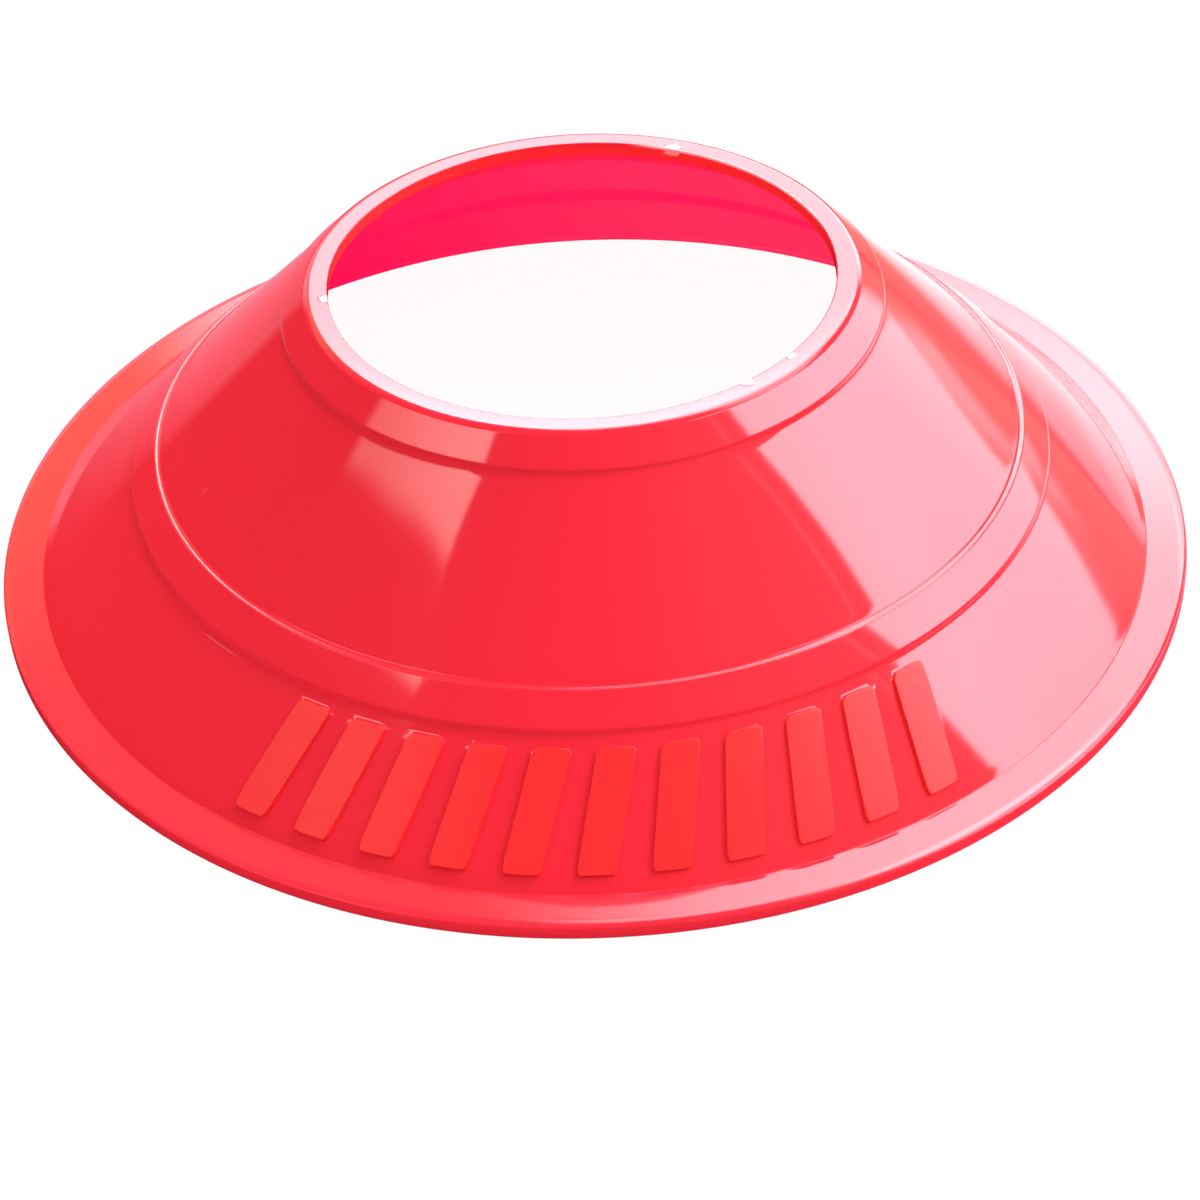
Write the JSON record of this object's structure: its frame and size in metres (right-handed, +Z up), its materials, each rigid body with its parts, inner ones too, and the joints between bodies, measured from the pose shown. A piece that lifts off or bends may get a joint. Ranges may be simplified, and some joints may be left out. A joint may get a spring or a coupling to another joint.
{
  "type": "sports marker cone",
  "caption": "Low disc-shaped sports marker cone, a thin moulded plastic wall with a flat brim, a stacking band and a wide open top.",
  "frame": {"origin": "centre of the base, on the ground that the brim rests on", "axes": "+Z up along the cone's axis, -Y towards the raised bars on the front of the skirt"},
  "size_m": [0.19, 0.19, 0.0485],
  "materials": {
    "red_plastic": "glossy moulded plastic, satin on the raised bars"
  },
  "bodies": {
    "root": {"cone_shell": "red_plastic"}
  },
  "joints": []
}
